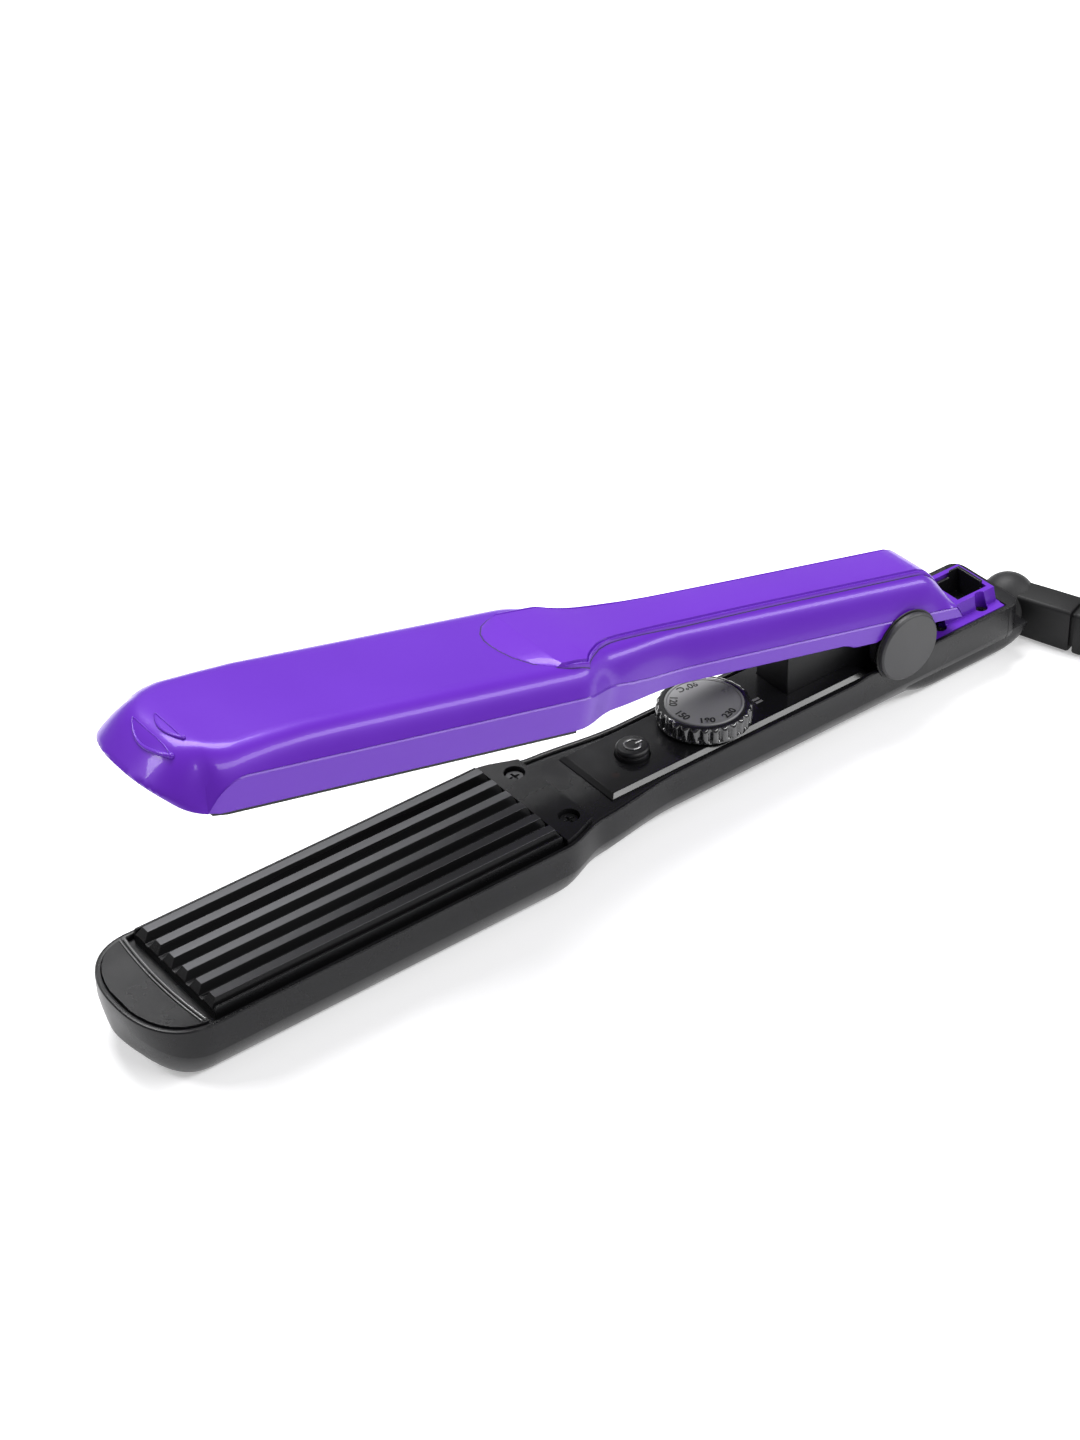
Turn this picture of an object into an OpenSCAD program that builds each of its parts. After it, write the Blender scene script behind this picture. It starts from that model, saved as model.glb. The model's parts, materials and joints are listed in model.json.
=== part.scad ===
// Hair crimper with two hinged arms, ridged plates, a temperature dial and a swivelling mains cord.
// +X runs along the lower arm to the cord end and +Z is up.
// The origin is on the table under the middle of the body.

/* [Arms] */
// X of the arms' rounded tip
tip_x = -150; // [-165:1:-135]
// length of the rounded tip
nose_l = 16; // [12:1:22]
// half width of the paddle that carries the plate
paddle_hw = 20.9; // [18:0.1:26]
// half width of the handle
handle_hw = 13.3; // [11:0.1:16]
// X of the back of the handle
rear_x = 131; // [120:1:140]
// wall of both shells
wall = 1.7; // [1.2:0.1:2.5]
// height of the lower arm's rim above the table
low_rim = 18; // [15:0.5:22]
// height where the lower arm's side wall ends
low_side = 9.3; // [7:0.1:12]
// underside of the handle above the table
low_handle = 3; // [1:0.5:5]

/* [Upper arm] */
// rim of the paddle, before the arm is opened
up_rim = 25.1; // [24:0.1:27]
// rim of the handle
up_handle_rim = 26.5; // [25:0.1:29]
// top of the paddle's side wall
up_side = 34; // [31:0.1:37]
// top of the handle's side wall
up_handle_side = 31; // [29:0.1:34]
// crown of the arm
up_top = 41; // [38:0.1:44]
// opening angle of the shell
open_deg = 13.3; // [10:0.1:18]
// opening angle of the plate, which lies level when the arms close
plate_open_deg = 14.4; // [11:0.1:19]

/* [Hinge] */
// X of the hinge pin
hinge_x = 87.5; // [80:0.5:95]
// height of the hinge pin
hinge_z = 23; // [20:0.5:26]
// radius of the pin
pin_r = 2.5; // [2:0.1:4]
// radius of the round side caps
cap_r = 9.9; // [8:0.1:12]
// near side of the block between the arms
block_near = -5.4; // [-8:0.1:-4]
// far side of the block
block_far = 7.2; // [4:0.1:8]

/* [Plates] */
// X of the plates' front end
plate_front = -133.3; // [-138:0.1:-125]
// X of the plates' back end
plate_back = -31.5; // [-40:0.1:-28]
// half width of a plate
plate_hw = 18.3; // [16:0.1:20]
// distance from ridge to ridge
pitch = 6; // [5:0.1:8]
// height of a ridge
ridge_h = 2.4; // [1.5:0.1:3]
// top of the lower ridges
ridge_top = 21.5; // [20:0.1:23]
// flat on top of a lower ridge
ridge_flat = 2.4; // [1.5:0.1:3]
// sideways run of a ridge's flank
flank = 1; // [0.6:0.1:1.4]
// gap between the closed plates
plate_gap = 0.6; // [0.3:0.1:1]

/* [Controls] */
// X of the front of the control panel
panel_x = -9; // [-14:0.5:0]
// half width of the panel
panel_hw = 10; // [9:0.1:11]
// top of the panel
panel_top = 17.9; // [17:0.1:19]
// X of the power button
button_x = 5.1; // [0:0.1:12]
// radius of the power button
button_r = 4.4; // [3.5:0.1:5.5]
// X of the temperature dial
dial_x = 29; // [24:0.5:34]
// radius of the dial's grip rim
dial_r = 12.7; // [11:0.1:14]
// top of the dial
dial_top = 23.4; // [22:0.1:24]
// number of grip flutes round the dial
flutes = 28; // [20:1:36]

/* [Cord] */
// cord diameter
cord_d = 6; // [5:0.1:8]
// X of the swivel's centre
swivel_x = 139.4; // [136:0.1:143]
// height of the swivel's axis
swivel_z = 8.2; // [8:0.1:9]
// radius of the swivel's dome
dome_r = 8; // [7:0.1:8.2]
// heading of the boot, turned from +X towards the near side
boot_deg = 70.5; // [40:0.5:90]
// X of the coil's centre
coil_x = 208; // [206:1:220]
// Y of the coil's centre
coil_y = -40; // [-60:1:-38]
// radius of the coil's outer turn, to the cord's middle
coil_r = 45.5; // [42:0.5:50]

/* [Hidden] */
$fn = 48;
seat_z = ridge_top - ridge_h - 2.6;
tray_z = 14.2;
up_valley = ridge_top + plate_gap;
up_tip = up_valley - ridge_h;
up_lip = up_tip + 1.2;
up_seat = up_valley + 2.6;
boot_z = 7;
boot_dir = [cos(boot_deg), -sin(boot_deg)];
boot_end = 48;
cord_r = cord_d / 2;
turn_pitch = cord_d + 0.05;
coil_h = 2 * turn_pitch;
nose_steps = [0.985, 0.95, 0.88, 0.78, 0.65, 0.5, 0.33, 0.16, 0];
// the cord's middle line from the boot to the coil
cord_pts = [
    [155.6, -45.7, 7], [156.9, -49.4, 7], [158.4, -53, 6.6], [160.6, -56.5, 5.9], [163.2, -59.8, 5],
    [166.1, -63, 4.2], [169.1, -65.9, 3.5], [172, -68.5, 3.2], [174.4, -70.6, 3.1]
];
// and from the coil up to the plug's tail
tail_pts = [
    [208, -85.4, 9.1], [212, -85.4, 9.2], [216, -85.4, 9.8], [222.7, -84.5, 11.2], [229, -81.9, 13],
    [234.4, -77.8, 15], [238.5, -72.4, 17], [241.1, -66.1, 18.6], [242, -59.4, 19.1]
];
plug_x = 242;
plug_y = -60;
plug_z = coil_h + 7;
arc_r = 139;
arc_x = -136.8 + arc_r;

// smooth step from 0 at a to 1 at b
function ease(a, b, x) = let (t = min(1, max(0, (x - a) / (b - a)))) t * t * (3 - 2 * t);

// how far x lies into the rounded tip, from 0 to 1
function into_nose(x) = min(1, max(0, (tip_x + nose_l - x) / nose_l));

// half width of both arms at x, with the wall's inset t
function half_w(x, t) =
    let (u = min(0.985, max(0, (tip_x + nose_l - x) / (nose_l - t))))
    let (neck = 3.2 * (1 - ease(-19.5, 10.5, x)))
    let (shoulder = (paddle_hw - handle_hw - 3.2) * (1 - ease(-31.5, -16.5, x)))
    let (body = handle_hw + neck + shoulder)
    (body - t) * pow(1 - pow(u, 2.3), 1 / 2.3);

// X stations of a shell's rings, denser at the tip and the waist
function stations(t, back) = concat(
    [for (u = nose_steps) tip_x + nose_l - u * (nose_l - t)],
    [-110, -80, -50, -34], [for (x = [-30 : 2.5 : -15]) x], [-11, -6, -1, 5, 11],
    [for (x = back) x]
);

// whole outline of one ring from half of it, which starts at the rim
// s is 1 for an arm crowned upwards and -1 for one crowned downwards
function both_sides(half, s) = concat(
    [for (p = half) [s * p[0], p[1]]],
    [for (i = [len(half) - 1 : -1 : 0]) if (half[i][0] > 0) [-s * half[i][0], half[i][1]]]
);

// ring of the lower shell: rim, side wall, bevel and flat crown
function low_ring(x, t) =
    let (u = into_nose(x))
    let (w = half_w(x, t))
    let (zs = low_side + 4.5 * pow(u, 3) + 0.4 * t)
    let (zb = low_handle * ease(-34, 0, x) + 8.5 * pow(u, 2.6) + t)
    let (b = min(7 - 2 * ease(-30, 0, x), 0.55 * w))
    let (c = zs - zb)
    both_sides([
        [w, low_rim + (t > 0 ? 2 : 0)], [w, zs], [w - 0.28 * b, zs - 0.45 * c], [w - 0.65 * b, zs - 0.78 * c],
        [w - 1.15 * b, zs - 0.94 * c], [0.45 * (w - b), zb]
    ], -1);

// ring of the upper shell before it is opened: rim, side wall, bevel and low crown
function up_ring(x, t) =
    let (u = into_nose(x))
    let (w = half_w(x, t))
    let (g = ease(-34, 5, x))
    let (tail = pow(max(0, x - 90) / 17.5, 1.35))
    let (rim = up_rim + (up_handle_rim - up_rim) * g + ease(94, 98, x) + 5.5 * pow(u, 4))
    let (zt = up_top - 0.5 * g - 7.5 * pow(u, 2.2) - 12 * tail - t)
    let (zs = min(up_side + (up_handle_side - up_side) * g - 3 * pow(u, 3) - 0.4 * t, zt - 0.4))
    let (b = min(6.5 - 0.5 * g, 0.5 * w))
    let (c = zt - zs)
    both_sides([
        [w * (1 - 0.3 * pow(u, 3)), rim - (t > 0 ? 3 : 0)], [w, max(zs, rim + 0.3)],
        [w - 0.3 * b, zs + 0.48 * c],
        [w - 0.66 * b, zs + 0.8 * c], [w - 1.05 * b, zs + 0.92 * c], [0.45 * (w - b), zs + 0.985 * c], [0, zt]
    ], 1);

// closed solid through a list of rings at the given X stations
module loft(xs, rings) {
    n = len(rings[0]);
    m = len(xs);
    polyhedron(
        points = [for (i = [0 : m - 1]) for (p = rings[i]) [xs[i], p[0], p[1]]],
        faces = concat(
            [[for (j = [0 : n - 1]) j]],
            [[for (j = [n - 1 : -1 : 0]) (m - 1) * n + j]],
            [for (i = [0 : m - 2]) for (j = [0 : n - 1])
                let (k = (j + 1) % n) [i * n + j, (i + 1) * n + j, (i + 1) * n + k]],
            [for (i = [0 : m - 2]) for (j = [0 : n - 1])
                let (k = (j + 1) % n) [i * n + j, (i + 1) * n + k, i * n + k]]
        )
    );
}

module low_solid(t) {
    xs = stations(t, [25, 50, 80, 105, rear_x - t]);
    loft(xs, [for (x = xs) low_ring(x, t)]);
}

module up_solid(t) {
    xs = stations(t, [25, 50, 80, 90, 93, 96, 99, 102, 105, 108 - t]);
    loft(xs, [for (x = xs) up_ring(x, t)]);
}

// opens a piece of the upper arm about the hinge pin
module opened(a) {
    translate([hinge_x, 0, hinge_z])
        rotate([0, a, 0])
            translate([-hinge_x, 0, -hinge_z])
                children();
}

// outline of the paddle seen from above, inset by t and cut at x_end
module paddle_plan(t, x_end) {
    xs = [for (x = stations(t, [25, 50, 80])) if (x < x_end) x];
    half = concat([for (x = xs) [x, half_w(x, t)]], [[x_end, half_w(x_end, t)]]);
    polygon(concat(half, [for (i = [len(half) - 1 : -1 : 0]) [half[i][0], -half[i][1]]]));
}

// cylinder across the arms on the hinge axis
module hinge_rod(r, y0, y1) {
    translate([hinge_x, y1, hinge_z])
        rotate([90, 0, 0])
            cylinder(r = r, h = y1 - y0);
}

// solid whose outline in X and Z is given, from y0 to y1
module side_profile(points, y0, y1) {
    translate([0, y1, 0])
        rotate([90, 0, 0])
            linear_extrude(y1 - y0)
                polygon(points);
}

// solid whose outline in Y and Z is given, from x0 to x1
module cross_profile(points, x0, x1) {
    translate([x0, 0, 0])
        rotate([90, 0, 90])
            linear_extrude(x1 - x0)
                polygon(points);
}

// places of the two screws on the paddle's back deck
module at_deck_screws() {
    for (y = [-11.4, 11.4])
        translate([-24.3, y, 0])
            children();
}

// places of the four screws of the back cover
module at_cover_screws() {
    for (x = [105.2, 120.4])
        for (y = [-8.2, 8.2])
            translate([x, y, 0])
                children();
}

// bulge under the back of the handle that houses the swivel
module belly() {
    intersection() {
        cross_profile([
            [-12.6, 9], [-11.6, 4.5], [-9.6, 1.2], [-7, 0], [7, 0], [9.6, 1.2], [11.6, 4.5], [12.6, 9]
        ], 84, 136);
        side_profile([
            [85, 9], [89, 4.6], [94, 1.5], [100, 0], [127, 0], [131.5, 1.2], [134, 3.6], [135, 9]
        ], -13, 13);
    }
}

module lower_shell() {
    color([0.06, 0.06, 0.065])
        difference() {
            union() {
                difference() {
                    union() {
                        low_solid(0);
                        belly();
                    }
                    low_solid(wall);
                    translate([95, -8, 2])
                        cube([30, 16, 8]);
                }
                translate([125, -11.7, 3.5])
                    cube([6, 23.4, tray_z - 3.5]);
                at_deck_screws()
                    translate([0, 0, 3])
                        cylinder(r = 3, h = tray_z - 3);
                at_cover_screws()
                    translate([0, 0, 10.6])
                        cylinder(r = 2.5, h = tray_z - 10.6);
                for (x = [105.2, 120.4])
                    for (y = [-11.7, 8.4])
                        translate([x - 2.2, y, 10.6])
                            cube([4.4, 3.3, tray_z - 10.6]);
            }
            hinge_rod(cap_r - 0.2, -20, 20);
            at_deck_screws()
                translate([0, 0, 6])
                    cylinder(r = 0.85, h = 10);
            at_cover_screws()
                translate([0, 0, 6])
                    cylinder(r = 0.85, h = 10);
            translate([120, 0, swivel_z])
                rotate([0, 90, 0])
                    cylinder(r = 5.3, h = 20);
            translate([116.5, 0, swivel_z])
                rotate([0, 90, 0])
                    cylinder(r = 6.2, h = 8.5);
            translate([swivel_x, 0, swivel_z])
                sphere(r = dome_r + 0.3, $fn = 64);
        }
}

module lower_tray() {
    color([0.09, 0.09, 0.095])
        difference() {
            union() {
                translate([0, 0, tray_z])
                    linear_extrude(seat_z - tray_z)
                        paddle_plan(wall, 77.5);
                // front deck, cut back along an arc before the plate
                translate([0, 0, tray_z])
                    linear_extrude(18.4 - tray_z)
                        difference() {
                            paddle_plan(wall, -134.9);
                            translate([arc_x, 0])
                                circle(r = arc_r, $fn = 360);
                        }
                // thin lip along that arc
                translate([0, 0, tray_z])
                    linear_extrude(18.9 - tray_z)
                        intersection() {
                            paddle_plan(wall + 1, -134.9);
                            translate([arc_x, 0])
                                difference() {
                                    circle(r = arc_r + 0.7, $fn = 360);
                                    circle(r = arc_r, $fn = 360);
                                }
                        }
                translate([0, 0, tray_z])
                    linear_extrude(19.1 - tray_z)
                        intersection() {
                            paddle_plan(wall, -20.1);
                            translate([-30.6, -25])
                                square([10.5, 50]);
                        }
            }
            translate([-128, -15, 0])
                cube([92, 30, 30]);
            at_deck_screws() {
                cylinder(r = 1.3, h = 30);
                translate([0, 0, 16.6])
                    cylinder(r = 2.8, h = 10);
            }
            translate([button_x, 0, 0])
                cylinder(r = 5.4, h = 30);
            translate([dial_x, 0, 0])
                cylinder(r = 8, h = 30);
            translate([-3.8, -4.4, 0])
                cylinder(r = 1.6, h = 30);
            translate([52.9, block_near - 0.1, 0])
                cube([40, block_far - block_near + 0.2, 30]);
        }
}

// ridges of a plate in Y and Z: flat tops joined by sloping flanks, ending at both edges
function ridges(first, count, flat, low, high) = [
    for (i = [0 : count - 1])
        for (p = [[-flat / 2 - flank, low], [-flat / 2, high], [flat / 2, high], [flat / 2 + flank, low]])
            [first + i * pitch + p[0], p[1]]
];

module lower_plate() {
    low = ridge_top - ridge_h;
    color([0.17, 0.17, 0.18])
        intersection() {
            cross_profile(concat(
                [[-plate_hw, seat_z], [-plate_hw, 20.3], [-17.7, 20.3], [-17.4, low]],
                ridges(-2.5 * pitch, 6, ridge_flat, low, ridge_top),
                [[17.4, low], [17.7, 20.3], [plate_hw, 20.3], [plate_hw, seat_z]]
            ), plate_front, plate_back);
            side_profile([
                [plate_front, seat_z], [plate_front, low + 0.4], [plate_front + 1.6, ridge_top],
                [plate_back - 0.8, ridge_top], [plate_back, low + 0.6], [plate_back, seat_z]
            ], -plate_hw, plate_hw);
        }
}

module lower_heater() {
    color([0.75, 0.76, 0.78])
        translate([-125, -13, 13])
            cube([86, 26, seat_z - 13]);
}

module lower_carrier() {
    color([0.85, 0.82, 0.72])
        difference() {
            translate([-127, -14.5, 10.5])
                cube([90, 29, 4.5]);
            translate([-125, -13, 13])
                cube([86, 26, 4]);
        }
}

// countersunk screw with a cross recess, its head's top at z
module screw(z, r, l) {
    difference() {
        translate([0, 0, z - 1.3])
            cylinder(r = r, h = 1.3);
        for (a = [0, 90])
            rotate([0, 0, a])
                translate([-r * 0.62, -0.32, z - 0.8])
                    cube([r * 1.24, 0.64, 2]);
    }
    translate([0, 0, z - l])
        cylinder(r = 0.85, h = l - 1);
}

module deck_screws() {
    color([0.2, 0.2, 0.21])
        at_deck_screws()
            screw(17.9, 2.4, 10);
}

module cover_screws() {
    color([0.2, 0.2, 0.21])
        at_cover_screws()
            screw(17.1, 1.7, 6);
}

module handle_panel() {
    color([0.07, 0.07, 0.075])
        difference() {
            intersection() {
                cross_profile([
                    [-panel_hw - 1.1, seat_z], [-panel_hw - 1.1, 16.9], [-panel_hw, panel_top],
                    [panel_hw, panel_top], [panel_hw + 1.1, 16.9], [panel_hw + 1.1, seat_z]
                ], panel_x - 1.2, 78);
                side_profile([
                    [panel_x - 1.2, seat_z], [panel_x - 1.2, 16.8], [panel_x, panel_top],
                    [74, panel_top], [77.5, seat_z]
                ], -12, 12);
            }
            translate([button_x, 0, 0])
                cylinder(r = button_r + 0.3, h = 30);
            translate([dial_x, 0, 0])
                cylinder(r = 4.3, h = 30);
            translate([-3.8, -4.4, 0])
                cylinder(r = 1.1, h = 30);
            translate([52.8, block_near - 0.05, 0])
                cube([40, block_far - block_near + 0.1, 30]);
        }
}

module led_lens() {
    color([0.25, 0.05, 0.05])
        translate([-3.8, -4.4, 14.6])
            cylinder(r = 1.1, h = panel_top - 14.75);
}

module circuit_board() {
    color([0.1, 0.3, 0.15])
        difference() {
            translate([-12, -9, 9.2])
                cube([58, 18, 1.6]);
            translate([dial_x, 0, 0])
                cylinder(r = 3.2, h = 30);
        }
}

module tact_switch() {
    color([0.3, 0.3, 0.3])
        translate([button_x, 0, 10.8]) {
            translate([-3, -3, 0])
                cube([6, 6, 0.6]);
            cylinder(r = 1.6, h = 1);
        }
}

module dial_pot() {
    color([0.55, 0.55, 0.5])
        translate([dial_x, 0, 10.8])
            difference() {
                cylinder(r = 7, h = 4.6);
                translate([0, 0, 1])
                    cylinder(r = 3.05, h = 10);
            }
}

module hinge_block() {
    color([0.08, 0.08, 0.085])
        difference() {
            union() {
                side_profile([[53, 12], [53, 30], [53.8, 30.8], [78, 30.8], [84, 12]], block_near, block_far);
                side_profile([
                    [76, 5.6], [76, 26], [hinge_x, 31], [94, 26], [97, 5.6]
                ], block_near, block_far);
                hinge_rod(8, block_near, block_far);
            }
            hinge_rod(pin_r, -20, 20);
            translate([58, block_near + 2, 9])
                cube([16, block_far - block_near - 4, 18]);
        }
}

module hinge_pin() {
    color([0.7, 0.7, 0.72])
        hinge_rod(pin_r, -14, 14);
}

module hinge_caps() {
    color([0.26, 0.26, 0.27])
        for (s = [-1, 1])
            mirror([0, s > 0 ? 1 : 0, 0])
                difference() {
                    union() {
                        translate([hinge_x, -14.9, hinge_z])
                            rotate([90, 0, 0])
                                cylinder(r1 = cap_r, r2 = cap_r - 0.5, h = 0.5, $fn = 96);
                        hinge_rod(cap_r, -14.9, -13.7);
                    }
                    hinge_rod(pin_r, -14, -13);
                }
}

module rear_cover() {
    color([0.36, 0.16, 0.68])
        difference() {
            union() {
                translate([99, -11.5, 14.2])
                    cube([30.2, 23, 3.8]);
                cross_profile([[-8.4, 18], [-7.2, 22], [7.2, 22], [8.4, 18]], 107, 126);
            }
            translate([113.9, -5.7, 10])
                cube([10.7, 11.4, 20]);
            translate([100.5, -6.6, 10])
                cube([12.2, 13.2, 10.3]);
            at_cover_screws() {
                cylinder(r = 0.95, h = 30);
                translate([0, 0, 15.8])
                    cylinder(r = 1.9, h = 10);
            }
            translate([126.2, -11.6, 16])
                cube([4, 2.2, 4]);
        }
}

module pocket_insert() {
    color([0.05, 0.05, 0.05])
        difference() {
            union() {
                translate([114, -5.6, 14.2])
                    cube([10.5, 11.2, 6.8]);
                translate([120.6, -4.2, 14.2])
                    cube([3.9, 9.4, 9]);
            }
            translate([115, -4.6, 15.5])
                cube([8.5, 9.2, 12]);
        }
}

module swivel_collar() {
    color([0.12, 0.12, 0.12])
        translate([119.5, 0, swivel_z])
            rotate([0, 90, 0])
                difference() {
                    cylinder(r = 6, h = 5.5);
                    translate([0, 0, -1])
                        cylinder(r = 5.06, h = 8);
                }
}

module upper_shell() {
    color([0.4, 0.18, 0.75])
        opened(open_deg)
            difference() {
                union() {
                    difference() {
                        up_solid(0);
                        up_solid(wall);
                    }
                    for (y = [[-13.3, -9.4], [9.4, 13.3]])
                        union() {
                            hinge_rod(9.2, y[0], y[1]);
                            translate([80, y[0], hinge_z])
                                cube([15, y[1] - y[0], 9]);
                        }
                    // two crescent grips on top of the tip
                    grips();
                }
                hinge_rod(pin_r + 0.06, -20, 20);
            }
}

// two raised crescents across the tip
module grips() {
    for (g = [[-141.5, -2.5, 8.8, 37.2], [-136.6, -2.3, 6.4, 38.9]])
        translate([g[0], g[1], g[3] - 2])
            linear_extrude(2.6)
                intersection() {
                    translate([17, 0])
                        circle(r = sqrt(17 * 17 + g[2] * g[2]) + 0.8, $fn = 128);
                    translate([-30, 0])
                        circle(r = sqrt(900 + g[2] * g[2]) + 0.4, $fn = 128);
                }
}

// raised spine along the handle with a shield-shaped start on the paddle
module spine_plan() {
    intersection() {
        translate([-12.5, 0])
            circle(r = 30, $fn = 128);
        translate([-43, -16.2])
            square([17, 32.4]);
    }
    polygon([[-26.2, -16.2], [-22, -13.2], [-17, -9.6], [-12, -7.6], [-6, -7.2], [91, -7.2],
        [91, 7.2], [-6, 7.2], [-12, 7.6], [-17, 9.6], [-22, 13.2], [-26.2, 16.2]]);
}

module spine_panel() {
    color([0.44, 0.22, 0.8])
        opened(open_deg)
            difference() {
                intersection() {
                    translate([0, 0, 0.8])
                        up_solid(0);
                    translate([0, 0, 30])
                        linear_extrude(20)
                            spine_plan();
                }
                up_solid(0);
            }
}

module upper_plate() {
    color([0.17, 0.17, 0.18])
        opened(plate_open_deg)
            intersection() {
                cross_profile(concat(
                    [[-plate_hw, up_seat], [-plate_hw, up_lip], [-17.4, up_lip], [-17.1, up_valley]],
                    ridges(-2 * pitch, 5, pitch - 2 * flank - ridge_flat, up_valley, up_tip),
                    [[17.1, up_valley], [17.4, up_lip], [plate_hw, up_lip], [plate_hw, up_seat]]
                ), plate_front, plate_back);
                side_profile([
                    [plate_front, up_seat], [plate_front, up_valley - 0.6], [plate_front + 1.6, up_tip],
                    [plate_back - 0.8, up_tip], [plate_back, up_valley - 0.6], [plate_back, up_seat]
                ], -plate_hw, plate_hw);
            }
}

module upper_heater() {
    color([0.75, 0.76, 0.78])
        opened(plate_open_deg)
            translate([-125, -13, up_seat])
                cube([86, 26, 3.4]);
}

module upper_carrier() {
    color([0.85, 0.82, 0.72])
        opened(plate_open_deg)
            difference() {
                translate([-127, -14.5, up_seat + 1.8])
                    cube([90, 29, 4]);
                translate([-125, -13, up_seat])
                    cube([86, 26, 3.4]);
            }
}

module upper_tray() {
    color([0.09, 0.09, 0.095])
        opened(plate_open_deg)
            difference() {
                union() {
                    translate([0, 0, up_seat])
                        linear_extrude(1.8)
                            paddle_plan(4.6, -20);
                    translate([0, 0, up_seat - 2.4])
                        linear_extrude(2.4)
                            intersection() {
                                paddle_plan(5.5, -20);
                                union() {
                                    translate([-150, -25])
                                        square([15.9, 50]);
                                    translate([-30.6, -25])
                                        square([10.6, 50]);
                                }
                            }
                }
                translate([-125.2, -13.2, up_seat - 1])
                    cube([86.4, 26.4, 8]);
            }
}

module upper_liner() {
    color([0.09, 0.09, 0.095])
        opened(open_deg)
            difference() {
                translate([-18, -11.2, 29])
                    cube([66, 22.4, 1.6]);
                translate([0, -4, 28])
                    cube([40, 8, 4]);
            }
}

module power_button() {
    color([0.05, 0.05, 0.055])
        translate([button_x, 0, 0])
            difference() {
                union() {
                    translate([0, 0, 13])
                        cylinder(r = button_r, h = 7.2);
                    translate([0, 0, 20.2])
                        cylinder(r1 = button_r, r2 = button_r - 0.5, h = 0.5);
                    translate([0, 0, 13])
                        cylinder(r = button_r + 0.7, h = 1);
                }
                translate([0, 0, 19])
                    difference() {
                        cylinder(r = button_r + 1, h = 0.35);
                        translate([0, 0, -1])
                            cylinder(r = button_r - 0.3, h = 3);
                    }
            }
}

module button_mark() {
    color([0.12, 0.12, 0.125])
        translate([button_x, 0, 20.7]) {
            linear_extrude(0.3)
                difference() {
                    circle(r = 2.4);
                    circle(r = 1.8);
                    translate([0, -0.9])
                        square([4, 1.8]);
                }
            linear_extrude(0.3)
                translate([0.8, -0.3])
                    square([2.2, 0.6]);
        }
}

module dial_knob() {
    color([0.06, 0.06, 0.065])
        translate([dial_x, 0, 0])
            difference() {
                union() {
                    translate([0, 0, 18.5])
                        cylinder(r = dial_r, h = 2.9, $fn = 96);
                    translate([0, 0, 21.4])
                        cylinder(r1 = dial_r, r2 = 10.8, h = 1.7, $fn = 96);
                    translate([0, 0, 12.5])
                        cylinder(r = 3, h = 7);
                }
                for (i = [0 : flutes - 1])
                    rotate([0, 0, i * 360 / flutes])
                        translate([dial_r + 0.25, 0, 18])
                            cylinder(r = 0.75, h = 5, $fn = 16);
                translate([0, 0, 22.6])
                    cylinder(r = 10.3, h = 2, $fn = 96);
            }
}

module dial_face() {
    color([0.48, 0.48, 0.49])
        translate([dial_x, 0, 22.6])
            difference() {
                cylinder(r = 10.3, h = dial_top - 22.6, $fn = 96);
                rotate([0, 0, 3])
                    translate([7.5, 0, dial_top - 22.6])
                        sphere(r = 0.75);
            }
}

module dial_marks() {
    color([0.08, 0.08, 0.08])
        translate([dial_x, 0, dial_top])
            for (a = [84, 138, 186, 236, 284])
                rotate([0, 0, a])
                    translate([9.1, -0.2, 0])
                        cube([0.8, 0.4, 0.12]);
}

module swivel_body() {
    color([0.22, 0.22, 0.225])
        translate([swivel_x, 0, swivel_z]) {
            sphere(r = dome_r, $fn = 64);
            rotate([0, -90, 0])
                cylinder(r = 5, h = 20.4);
            translate([-21.6, 0, 0])
                rotate([0, 90, 0])
                    cylinder(r = 5.9, h = 1.5);
        }
}

// strain relief: a flat oblong bar with a ribbed, narrowing end
module cord_boot() {
    color([0.13, 0.13, 0.135])
        difference() {
            translate([swivel_x, 0, boot_z])
                rotate([0, 0, -boot_deg]) {
                    translate([4, -4.7, -6.6])
                        cube([17, 9.4, 13.2]);
                    for (i = [0 : 5])
                        translate([21 + i * 4.4, 0, 0])
                            cord_rib(i);
                    rotate([0, 90, 0])
                        cylinder(r = 3.6, h = boot_end);
                }
            translate([swivel_x, 0, swivel_z])
                sphere(r = dome_r, $fn = 64);
        }
}

// one rib of the strain relief, smaller with every step
module cord_rib(i) {
    w = 9.4 - i * 0.35;
    h = 13.2 - i * 0.8;
    translate([1.2, -w / 2, -h / 2])
        cube([3.2, w, h]);
    translate([0, -w / 2 + 1.2, -h / 2 + 1.2])
        cube([1.2, w - 2.4, h - 2.4]);
}

function unit(v) = v / norm(v);

// direction of a row of points at number i
function heading(pts, i) = unit(pts[min(i + 1, len(pts) - 1)] - pts[max(i - 1, 0)]);

// round cord swept along a row of points
module swept(pts) {
    sides = 10;
    m = len(pts);
    polyhedron(
        points = [for (i = [0 : m - 1])
            let (t = heading(pts, i))
            let (s = unit(cross([0, 0, 1], t)))
            let (u = cross(t, s))
            for (j = [0 : sides - 1])
                let (a = j * 360 / sides)
                pts[i] + cord_r * (cos(a) * s + sin(a) * u)],
        faces = concat(
            [[for (j = [sides - 1 : -1 : 0]) j]],
            [[for (j = [0 : sides - 1]) (m - 1) * sides + j]],
            [for (i = [0 : m - 2]) for (j = [0 : sides - 1])
                let (k = (j + 1) % sides)
                [i * sides + j, i * sides + k, (i + 1) * sides + k, (i + 1) * sides + j]]
        )
    );
}

module cord_tube() {
    color([0.06, 0.06, 0.06])
        swept(cord_pts);
}

module cord_tail() {
    color([0.06, 0.06, 0.06])
        swept(tail_pts);
}

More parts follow.
